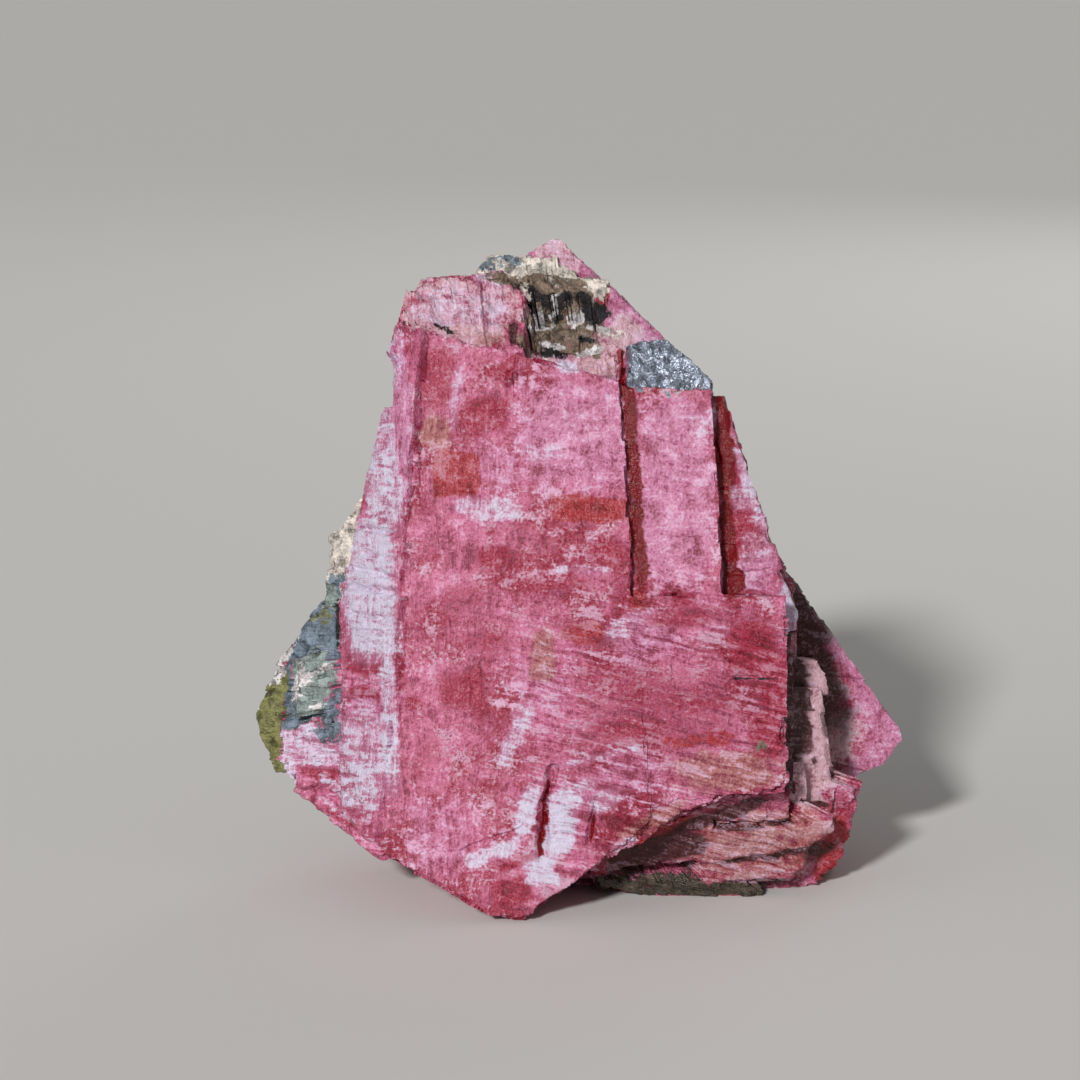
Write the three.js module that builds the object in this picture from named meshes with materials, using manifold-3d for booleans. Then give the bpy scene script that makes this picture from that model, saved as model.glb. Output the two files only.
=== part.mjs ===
// Rough rhodonite, one lump of cleavable pink stone standing on its broken base.
// Millimetres, +Z up, the large cleavage face towards -Y.
//
// The stone is a stack of cleavage blocks. Each block is drawn in the stone's own
// upright frame: x runs along the face, y up the face, and depth is measured from
// the stone's middle plane towards the viewer of the face. The blocks are joined,
// the whole stack leans back, and the ground plane breaks it off flat.
import * as THREE from 'three';
import { mergeVertices } from 'three/addons/utils/BufferGeometryUtils.js';
import Module from 'manifold-3d';

// Depths of the cleavage planes.
const faceDepth = 19; // middle plane to the large cleavage face
const stepDepth = 17.5; // the second cleavage step, right of the face
const shelfDepth = 15.2; // the third step, at the right edge
const coreDepth = 4; // front of the bulk that every block is grown on
const coreBack = -13; // back of the bulk
const faceBack = -1; // back of the blocks of the face, well inside the bulk

// Places along the face.
const leftTip = -34.4; // the olive corner
const faceLeft = -18.9; // left edge of the large face, at half its height
const faceLeftLean = 0.075; // shift of that edge to the right for each millimetre up
const ledgeOne = 6.2; // ledge right of the large face, at half its height
const ledgeTwo = 14.5; // ledge between the second and third steps
const shelfEdge = 21.5; // right edge of the lower face
const rightTip = 35.4; // the corner of the back slab

// Heights up the face.
const toe = 0; // lowest point of the large face
const faceFoot = 0.6; // bottom of the large face, beside the toe
const lipHeight = 12.3; // bottom edge of the lower face
const kneeHeight = 33.8; // the steps end here and the lower face begins
const faceTop = 58.7; // top edge of the large face
const crownTop = 71.5; // the peak

const leanBack = THREE.MathUtils.degToRad(10); // lean of the face from the vertical
const overlap = 3; // how far a block runs under its neighbour
const deepest = 20.5; // middle plane to the deepest point of the back
const humpCut = 0.5; // share of a hump's half sizes lost at each corner
const groundSize = 200; // half space above the ground, larger than the stone
const weldDistance = 1e-5; // corners closer than this are one corner

const stoneColour = 0xc4607a;
const stoneRoughness = 0.42;

// Every block has a left and right side, a bottom and a top, each measured at the
// block's middle. "lean" is the shift in x of the left and right sides for each
// millimetre up, "slope" the rise of the bottom and top for each millimetre along.
// A chip is a corner broken off: the lengths lost along the end and along the side.
// "front" and "back" are depths at the block's middle, or at "at" where it is given,
// and a tilt is the rise of that depth for each millimetre along x and along y.

// The bulk that everything is grown on, narrowed towards the crown.
const core = {
  left: leftTip + 10, right: shelfEdge + 2, bottom: 3, top: crownTop - 8,
  chips: { bottomLeft: [12, 10], bottomRight: [5, 8], topRight: [19, 29], topLeft: [9.5, 26] },
  front: coreDepth, tilt: [0, -0.1], back: coreBack,
};

// The rough back isn't cleaved: broad humps with all four corners cut. A hump's place
// and size are shares of the stone's width, height and deepest reach.
function hump({ along, up, wide, tall, deep, backTilt }) {
  const width = rightTip - leftTip;
  const x = leftTip + along * width;
  const y = up * crownTop;
  const halfWidth = (wide * width) / 2;
  const halfHeight = (tall * crownTop) / 2;
  const cut = [humpCut * halfWidth, humpCut * halfHeight];
  return {
    left: x - halfWidth, right: x + halfWidth, bottom: y - halfHeight, top: y + halfHeight,
    chips: { bottomLeft: cut, bottomRight: cut, topRight: cut, topLeft: cut },
    front: 0, back: -deep * deepest, backTilt,
  };
}

const bulk = [
  core,
  hump({ along: 0.3, up: 0.3, wide: 0.36, tall: 0.48, deep: 0.8, backTilt: [-0.12, 0.08] }),
  hump({ along: 0.68, up: 0.28, wide: 0.38, tall: 0.44, deep: 0.85, backTilt: [0.18, 0] }),
  hump({ along: 0.46, up: 0.5, wide: 0.42, tall: 0.62, deep: 0.95, backTilt: [-0.05, 0.15] }),
  hump({ along: 0.45, up: 0.72, wide: 0.3, tall: 0.34, deep: 0.75, backTilt: [0.1, 0.25] }),
  hump({ along: 0.5, up: 0.4, wide: 0.16, tall: 0.5, deep: 1, backTilt: [0, 0.05] }),
];

// The large face, the lower face at its right, and the two cleavage steps.
const face = [
  {
    left: faceLeft, right: ledgeOne, bottom: faceFoot, top: faceTop,
    lean: [faceLeftLean, -0.075], slope: [0, -0.26],
    chips: { bottomLeft: [11.8, 6.6], bottomRight: [13.5, 9.6] },
    front: faceDepth, tilt: [-0.012, -0.02], back: faceBack,
  },
  {
    // lower face, flush with the large face at its left and falling away to the right
    left: ledgeOne - overlap, right: shelfEdge, bottom: lipHeight, top: kneeHeight,
    slope: [0.12, 0],
    front: 18.6, tilt: [-0.05, 0], back: faceBack,
  },
  {
    // lip under the lower face, rising to the right
    left: -3.5, right: 15, bottom: 7.9, top: 22,
    slope: [0.53, 0],
    front: 18.7, tilt: [-0.05, 0], back: faceBack,
  },
  {
    // second step
    left: ledgeOne - overlap, right: ledgeTwo, bottom: kneeHeight - overlap, top: 55.2,
    lean: [0, -0.05], slope: [0, -0.04],
    front: stepDepth, tilt: [0.03, 0], back: faceBack,
  },
  {
    // third step
    left: ledgeTwo - overlap, right: 19.2, bottom: kneeHeight - overlap, top: 54.5,
    lean: [0, -0.33],
    chips: { bottomRight: [2.5, 6] },
    front: shelfDepth, tilt: [-0.06, 0], back: faceBack,
  },
  {
    // the toe that the face ends in, one of the feet
    left: -10.4, right: -4.5, bottom: toe, top: 4,
    chips: { bottomLeft: [3, 1.5], bottomRight: [0.9, 1.8] },
    front: 19.2, tilt: [0, 0.1], back: 8,
  },
];

// The steep bevel left of the face: three blocks whose fronts share one plane, which
// meets the face along its leaning left edge.
const bevelSteepness = 1.4; // depth lost for each millimetre left of the edge
const faceMiddle = (faceFoot + faceTop) / 2;
const bevelPlane = {
  at: [faceLeft, faceMiddle],
  front: faceDepth,
  tilt: [bevelSteepness, -bevelSteepness * faceLeftLean],
};

// A block of the bevel, whose right side lies just inside the edge of the face.
function bevelBlock({ left, bottom, top, leftLean = 0, chips, back }) {
  const edge = faceLeft + faceLeftLean * ((bottom + top) / 2 - faceMiddle);
  const lean = [leftLean, faceLeftLean];
  return { ...bevelPlane, left, right: edge + 0.1, bottom, top, lean, chips, back };
}

const leftSide = [
  bevelBlock({ left: -19.3, bottom: kneeHeight, top: 61.5, back: 0 }),
  bevelBlock({ left: -23.1, bottom: 30, top: 53.3, leftLean: 0.23, back: 0 }),
  bevelBlock({ left: -25, bottom: 8, top: 35, chips: { bottomLeft: [3, 3] }, back: -2 }),
  {
    // pale matrix at the far left
    left: -26.8, right: -22, bottom: 27, top: 43.7,
    lean: [0.13, 0],
    chips: { topLeft: [3.2, 3.6] },
    front: 9.3, tilt: [0.75, 0.05], back: -6,
  },
  {
    // slate shoulder under it
    left: -31, right: -24.5, bottom: 18, top: 32.8,
    chips: { topLeft: [3.6, 5.2] },
    front: 8, tilt: [0.6, 0], back: -5,
  },
  {
    // olive lump at the left corner
    left: leftTip, right: -29, bottom: 14.4, top: 27.8,
    chips: { bottomLeft: [2, 5.2], topLeft: [3.5, 6.2] },
    front: 4.6, tilt: [0.45, 0.1], back: -3,
  },
  {
    // grey scaly lump beside it
    left: -30, right: -25, bottom: 20.7, top: 28.1,
    chips: { bottomRight: [3, 3.3], topRight: [2, 2.2], topLeft: [1.8, 1.2] },
    front: 9.2, tilt: [0.3, -0.1], back: 0,
  },
  {
    // white shoulder under the lumps
    left: -31.8, right: -24, bottom: 12.8, top: 20.9,
    chips: { bottomLeft: [2.5, 2] },
    front: 8.4, tilt: [0.6, 0.1], back: -4,
  },
  {
    // red wedge at the bottom
    left: -30.3, right: -20, bottom: 5.6, top: 15.8,
    chips: { bottomLeft: [9.3, 7], topRight: [2.5, 4] },
    front: 8.6, tilt: [0.62, 0.15], back: -5,
  },
];

// The crown: sugary left shoulder, grey top, peak, right shoulder, cavity floor, galena.
const crown = [
  {
    left: -18.9, right: -5, bottom: 57, top: 67.3,
    lean: [0.28, 0], slope: [-0.26, 0.12],
    chips: { topLeft: [1.2, 1] },
    front: 16.4, tilt: [0.02, -0.5], back: 0,
  },
  {
    left: -11.1, right: 2.5, bottom: 56, top: 69.8,
    chips: { topRight: [5, 4], topLeft: [1.9, 2.2] },
    front: 12, tilt: [-0.05, -0.55], back: -4,
  },
  {
    left: -5.6, right: 3.3, bottom: 60, top: crownTop,
    chips: { topRight: [5.2, 4.9], topLeft: [3.2, 1.6] },
    front: 8.5, tilt: [-0.1, -0.35], back: -4,
  },
  {
    left: 1.5, right: 10, bottom: 54, top: 66.2,
    chips: { bottomRight: [2, 3], topRight: [6.6, 6.4] },
    front: 12.6, tilt: [-0.3, -0.35], back: -2,
  },
  {
    left: -7.1, right: 4.5, bottom: 54.5, top: 61.7,
    front: 15, tilt: [0, -0.35], back: 0,
  },
  {
    left: 5, right: 14, bottom: 54.3, top: 60.2,
    slope: [-0.19, 0],
    chips: { topRight: [4.7, 4.1], topLeft: [1.8, 0.7] },
    front: 16.8, tilt: [-0.1, -0.3], back: faceBack,
  },
];

// The thin plates that step back at the right, and the slab behind them.
const rightSide = [
  {
    // cream edge of the lower face
    left: shelfEdge - 1, right: 23.1, bottom: 29.6, top: 36.6,
    chips: { topRight: [2.1, 4.5] },
    front: 14.5, tilt: [-0.35, 0], back: faceBack,
  },
  {
    // brown wall under the cream edge
    left: shelfEdge - 1, right: 22.6, bottom: 13, top: 30,
    front: 13, tilt: [-0.5, 0], back: -3,
  },
  {
    // thin edge that catches the light beside the wall
    left: shelfEdge - 1, right: 23.1, bottom: 25.6, top: 29.8,
    front: 11.4, tilt: [-0.3, 0], back: -3,
  },
  {
    // flag at the top of the long plate
    left: 22, right: 26.6, bottom: 22.9, top: 26.8,
    chips: { topRight: [1.3, 2.2] },
    front: 8.8, tilt: [-0.25, 0], back: -4,
  },
  {
    // long plate
    left: 22, right: 26.6, bottom: 11.5, top: 24,
    lean: [0, -0.14],
    front: 10, tilt: [-0.3, 0], back: -4,
  },
  {
    // narrow slab beside the wall
    left: shelfEdge, right: 24.1, bottom: 12.1, top: 16.5,
    chips: { topRight: [0.6, 1.7] },
    front: 12, tilt: [-0.2, 0], back: -4,
  },
  {
    // lower plate
    left: 23, right: 27.3, bottom: 9.8, top: 13.5,
    chips: { bottomRight: [0.5, 1.2] },
    front: 9.6, tilt: [-0.2, 0.1], back: -4,
  },
  {
    // lowest plate
    left: 22, right: 26.9, bottom: 7.6, top: 10.5,
    chips: { bottomRight: [1.2, 1] },
    front: 10.6, tilt: [-0.1, 0.2], back: -4,
  },
  {
    // back slab
    left: 19, right: rightTip, bottom: 12.3, top: 36.8,
    slope: [0.44, 0],
    chips: { bottomRight: [2.3, 1.6], topRight: [12.8, 18.4] },
    front: -3.5, tilt: [0.05, 0], back: -12,
  },
];

// The underside: broken body, three stairs under the face, brown lip, matrix band, nub
// and the hidden foot at the rear left.
const underside = [
  {
    left: -1, right: 28.8, bottom: 0.4, top: 13.8,
    lean: [0, 0.2],
    chips: { bottomLeft: [8, 4], bottomRight: [6, 4], topLeft: [9, 5] },
    front: 8.6, tilt: [-0.12, 0.35], back: -14,
  },
  {
    // first stair
    left: 12, right: 22.1, bottom: 9.7, top: 13.2,
    front: 14.2, tilt: [-0.02, 0.35], back: 0,
  },
  {
    // second stair
    left: 12.5, right: 26.8, bottom: 6.1, top: 9.8,
    slope: [0.12, 0.12],
    chips: { bottomRight: [3.5, 1.8] },
    front: 12.4, tilt: [-0.05, 0.5], back: 0,
  },
  {
    // third stair
    left: 13, right: 24.1, bottom: 3.1, top: 7,
    chips: { bottomRight: [1.5, 1.8] },
    front: 10.6, tilt: [-0.05, 0.5], back: 0,
  },
  {
    // brown lip left of the stairs
    left: 1, right: 14.5, bottom: 5.1, top: 9.5,
    slope: [0.15, 0.45],
    front: 13, tilt: [-0.1, 0.6], back: 0,
  },
  {
    // dark matrix band
    left: 1.8, right: 19.6, bottom: 0.5, top: 3.6,
    slope: [0, -0.05],
    chips: { bottomLeft: [8.5, 2.2], bottomRight: [0.8, 0.6] },
    front: 9.4, tilt: [0, 0.5], back: -4,
  },
  {
    // nub beside the toe
    left: -1.5, right: 4, bottom: 1.6, top: 5.5,
    chips: { bottomLeft: [3, 1.2], bottomRight: [1.2, 0.9] },
    front: 5, back: -4,
  },
  {
    // rear foot
    left: -13, right: 1, bottom: 0.8, top: 12,
    chips: { bottomLeft: [4, 3] },
    front: 3, back: -12,
  },
];

// The dark cavity in the crown is cut out of the front.
const pocket = {
  left: -4.9, right: 2, bottom: 61.3, top: 64.4,
  chips: { bottomLeft: [1, 1], bottomRight: [1, 1], topRight: [1.5, 1], topLeft: [1, 1] },
  front: 25, back: 10.5, backTilt: [0, -0.3],
};

// Oblique breaks of the back: a plane through a point, with everything in front of
// its facing direction lost. Both are given as x, y and depth.
const breaks = [
  { through: [-34, 20, -1.5], facing: [-0.66, 0.1, -0.75] }, // left rear
  { through: [-20, 58, 2], facing: [-0.62, 0.42, -0.66] }, // upper left rear
  { through: [rightTip, 17, -8], facing: [0.5, 0.12, -0.86] }, // right rear
  { through: [15, 56, 2], facing: [0.55, 0.5, -0.67] }, // upper right rear
  { through: [-2, 71, 0], facing: [0.05, 0.6, -0.8] }, // top rear
  { through: [8, 12, -18], facing: [0.12, -0.5, -0.86] }, // lower rear
  { through: [-20, 9, -8], facing: [-0.45, -0.55, -0.7] }, // lower left rear
  { through: [31, 9, -4], facing: [0.6, -0.5, -0.62] }, // lower right rear
];

const library = await Module();
library.setup();

// A closed three.js geometry as a solid, once its shared corners are merged.
function solidFrom(geometry) {
  const bare = geometry.clone();
  bare.deleteAttribute('normal');
  bare.deleteAttribute('uv');
  const welded = mergeVertices(bare, weldDistance);
  return new library.Manifold(
    new library.Mesh({
      numProp: 3,
      vertProperties: new Float32Array(welded.getAttribute('position').array),
      triVerts: new Uint32Array(welded.getIndex().array),
    }),
  );
}

// Where a leaning side meets a sloping end.
function cornerOf(side, lean, end, slope, middle) {
  const x = (side + lean * (end - slope * middle.x - middle.y)) / (1 - lean * slope);
  return new THREE.Vector2(x, end + slope * (x - middle.x));
}

function movedTowards(from, target, length) {
  return from.clone().add(target.clone().sub(from).setLength(length));
}

function middleOf({ left, right, bottom, top }) {
  return new THREE.Vector2((left + right) / 2, (bottom + top) / 2);
}

// The outline of a block, anticlockwise from its bottom left corner.
function blockOutline(block) {
  const { left, right, bottom, top, lean = [0, 0], slope = [0, 0], chips = {} } = block;
  const middle = middleOf(block);
  const corners = {
    bottomLeft: cornerOf(left, lean[0], bottom, slope[0], middle),
    bottomRight: cornerOf(right, lean[1], bottom, slope[0], middle),
    topRight: cornerOf(right, lean[1], top, slope[1], middle),
    topLeft: cornerOf(left, lean[0], top, slope[1], middle),
  };
  const names = Object.keys(corners);
  return names.flatMap((name, i) => {
    const corner = corners[name];
    if (!chips[name]) {
      return [corner];
    }
    const before = corners[names[(i + 3) % 4]];
    const after = corners[names[(i + 1) % 4]];
    const [alongEnd, alongSide] = chips[name];
    // these two corners are reached along a side, the other two along an end
    const sideFirst = name === 'bottomLeft' || name === 'topRight';
    const lengths = sideFirst ? [alongSide, alongEnd] : [alongEnd, alongSide];
    return [movedTowards(corner, before, lengths[0]), movedTowards(corner, after, lengths[1])];
  });
}

function planeDepth(x, y, at, depth, tilt) {
  return depth + tilt[0] * (x - at[0]) + tilt[1] * (y - at[1]);
}

// The stone leans back about its foot line, so that the toe of the face is on the ground.
function leanWithStone(geometry) {
  geometry.rotateX(-leanBack);
  geometry.translate(0, 0, -faceDepth * Math.sin(leanBack));
}

// A block is its outline extruded by one, with each end moved onto its own tilted
// plane, then turned upright and leaned back with the rest of the stone.
function cleavageBlock(block) {
  const { front, tilt = [0, 0], back, backTilt = [0, 0] } = block;
  const at = block.at ?? middleOf(block).toArray();
  const shape = new THREE.Shape(blockOutline(block));
  const geometry = new THREE.ExtrudeGeometry(shape, { depth: 1, bevelEnabled: false });
  const corners = geometry.getAttribute('position');
  for (let i = 0; i < corners.count; i++) {
    const x = corners.getX(i);
    const y = corners.getY(i);
    const isFront = corners.getZ(i) > 0.5;
    const depth = isFront ? planeDepth(x, y, at, front, tilt) : planeDepth(x, y, at, back, backTilt);
    corners.setXYZ(i, x, -depth, y);
  }
  leanWithStone(geometry);
  return solidFrom(geometry);
}

// A cube whose inner face lies in the plane of the break, in the stone's own frame.
function brokenAway({ through, facing }) {
  const cube = new THREE.BoxGeometry(groundSize, groundSize, groundSize);
  cube.translate(0, 0, groundSize / 2);
  const outward = new THREE.Vector3(facing[0], -facing[2], facing[1]).normalize();
  const turn = new THREE.Quaternion().setFromUnitVectors(new THREE.Vector3(0, 0, 1), outward);
  cube.applyQuaternion(turn);
  cube.translate(through[0], -through[2], through[1]);
  leanWithStone(cube);
  return solidFrom(cube);
}

function rhodoniteStone() {
  const blocks = [...bulk, ...face, ...leftSide, ...crown, ...rightSide, ...underside];
  let stone = cleavageBlock(blocks[0]);
  for (const block of blocks.slice(1)) {
    stone = stone.add(cleavageBlock(block));
  }
  stone = stone.subtract(cleavageBlock(pocket));
  for (const plane of breaks) {
    stone = stone.subtract(brokenAway(plane));
  }

  const aboveGround = new THREE.BoxGeometry(groundSize, groundSize, groundSize);
  aboveGround.translate(0, 0, groundSize / 2);
  stone = stone.intersect(solidFrom(aboveGround));

  const { vertProperties, triVerts } = stone.getMesh();
  const geometry = new THREE.BufferGeometry();
  geometry.setAttribute('position', new THREE.BufferAttribute(vertProperties, 3));
  geometry.setIndex(new THREE.BufferAttribute(triVerts, 1));
  geometry.computeVertexNormals();
  geometry.computeBoundingBox();

  const material = new THREE.MeshStandardMaterial({
    color: stoneColour,
    roughness: stoneRoughness,
    metalness: 0,
    flatShading: true,
  });
  const mesh = new THREE.Mesh(geometry, material);
  mesh.name = 'rhodonite_stone';

  // the origin is the middle of the stone's footprint box, on the ground
  const middle = geometry.boundingBox.getCenter(new THREE.Vector3());
  mesh.position.set(-middle.x, -middle.y, 0);
  return mesh;
}

const rhodonite = new THREE.Group();
rhodonite.add(rhodoniteStone());

export default rhodonite;
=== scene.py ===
import math

import bpy
import numpy as np
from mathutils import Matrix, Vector


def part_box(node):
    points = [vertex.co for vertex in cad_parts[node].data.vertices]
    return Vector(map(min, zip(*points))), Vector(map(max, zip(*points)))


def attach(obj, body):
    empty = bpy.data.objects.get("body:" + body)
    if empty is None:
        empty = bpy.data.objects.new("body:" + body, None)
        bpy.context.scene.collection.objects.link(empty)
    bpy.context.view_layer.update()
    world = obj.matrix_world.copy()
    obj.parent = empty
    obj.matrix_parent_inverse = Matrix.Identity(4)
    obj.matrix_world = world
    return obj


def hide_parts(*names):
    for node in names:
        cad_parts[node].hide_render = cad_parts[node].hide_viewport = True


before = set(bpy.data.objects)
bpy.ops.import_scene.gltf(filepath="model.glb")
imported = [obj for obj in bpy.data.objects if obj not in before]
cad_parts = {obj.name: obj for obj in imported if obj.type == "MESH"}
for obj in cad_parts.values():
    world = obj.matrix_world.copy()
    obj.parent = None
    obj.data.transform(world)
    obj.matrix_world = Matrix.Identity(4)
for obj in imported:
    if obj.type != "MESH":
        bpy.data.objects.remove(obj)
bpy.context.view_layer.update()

# Rough rhodonite. Blocks and patches are given in millimetres in the stone's own frame:
# x along the face, y up the face, depth towards the viewer of the face. The whole stone
# then leans back and stands on the ground.
stone = {
    "lean": math.radians(10),
    "faceDepth": 19.0,
    "columns": 330,  # cells across, up and through the stone
    "rows": 340,
    "layers": 84,
    "triangles": 195000,
    "chipSize": (2.4, 2.6, 1.0),  # small blocks that broken walls crumble into, thin in depth
    "roughSize": 5.0,  # size of the lumps on the broken surfaces
    "terraceSize": (5.0, 3.0, 9.0),  # faint terraces on a cleavage face
    "ridge": 0.3,  # how far the bevel stands proud where it meets the face
    "gritSize": 0.9,
    "backRelief": 0.9,  # relief of the rough back and its breaks
    "waverSize": 1.8,  # how long the bends of a patch's edge are, and how far they go
    "waver": 0.8,
    "crackBends": 1.4,  # how long the bends of a crack are, and how far they go
    "crackWander": 0.3,
    "cracksFrom": 4.0,  # cracks show only nearer the viewer than this depth
    "crownStarts": 2.0,  # how far below the face's top the walls stop getting a painted red glow of shade
    "sharpAngle": math.radians(28),
    "seed": 11,
}

# The rays that find the surface start on a small box inside the stone and end on one around
# it, whose left and right sides are given at three heights, as shares of its own.
rays = {
    "heights": [0, 0.3, 1],
    "lowSides": [-26, -36, -17],
    "highSides": [31, 37, 10],
    "foot": -5,
    "tall": 79,
    "rear": -26,
    "deep": 48,
    "startSides": [-9, 8],
    "startFoot": 12,
    "startTall": 40,
    "startRear": -6,
    "startDeep": 11,
}

# Shared lines of the blocks, in millimetres.
leftTip = -34.4
faceLeft = -18.9
faceLeftLean = 0.075
ledgeOne = 6.2
ledgeTwo = 14.5
shelfEdge = 21.5
rightTip = 35.4
faceFoot = 0.6
lipHeight = 12.3
kneeHeight = 33.8
faceTop = 58.7
crownTop = 71.5
deepest = 20.5
faceBack = -1.0
overlap = 3.0
faceMiddle = (faceFoot + faceTop) / 2
bevelSteepness = 1.4

far = 1e9  # further than any ray goes
tiny = 1e-9


# One cleavage block. lean and slope tilt its sides and ends, chips breaks its corners off,
# grain is the relief of its front and crumble that of its walls, both in millimetres.
def block(left, right, bottom, top, front, back, lean=(0, 0), slope=(0, 0), chips=None,
          tilt=(0, 0), backTilt=(0, 0), at=None, grain=0.12, crumble=0.5, mineral="pink"):
    middle = ((left + right) / 2, (bottom + top) / 2)
    return {
        "sides": (left, right), "ends": (bottom, top), "middle": middle, "lean": lean,
        "slope": slope, "chips": chips or {}, "front": front, "tilt": tilt, "back": back,
        "backTilt": backTilt, "at": at or middle, "grain": grain, "crumble": crumble,
        "mineral": mineral,
    }


# A broad hump of the rough back. Its place and size are shares of the stone's own.
def hump(along, up, wide, tall, deep, backTilt):
    width = rightTip - leftTip
    x = leftTip + along * width
    y = up * crownTop
    halfWidth = wide * width / 2
    halfHeight = tall * crownTop / 2
    cut = (halfWidth / 2, halfHeight / 2)
    return block(x - halfWidth, x + halfWidth, y - halfHeight, y + halfHeight, 0,
                 -deep * deepest, backTilt=backTilt, grain=0.8, crumble=0.9,
                 chips={"bl": cut, "br": cut, "tr": cut, "tl": cut})


# A block of the bevel at the left, whose front meets the face along its leaning edge.
def bevelBlock(left, bottom, top, back, leftLean=0.0, chips=None):
    edge = faceLeft + faceLeftLean * ((bottom + top) / 2 - faceMiddle)
    return block(left, edge + stone["ridge"], bottom, top, stone["faceDepth"] + stone["ridge"],
                 back, lean=(leftLean, faceLeftLean), chips=chips,
                 tilt=(bevelSteepness, -bevelSteepness * faceLeftLean),
                 at=(faceLeft, faceMiddle), grain=0.3, crumble=0.4)


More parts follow.
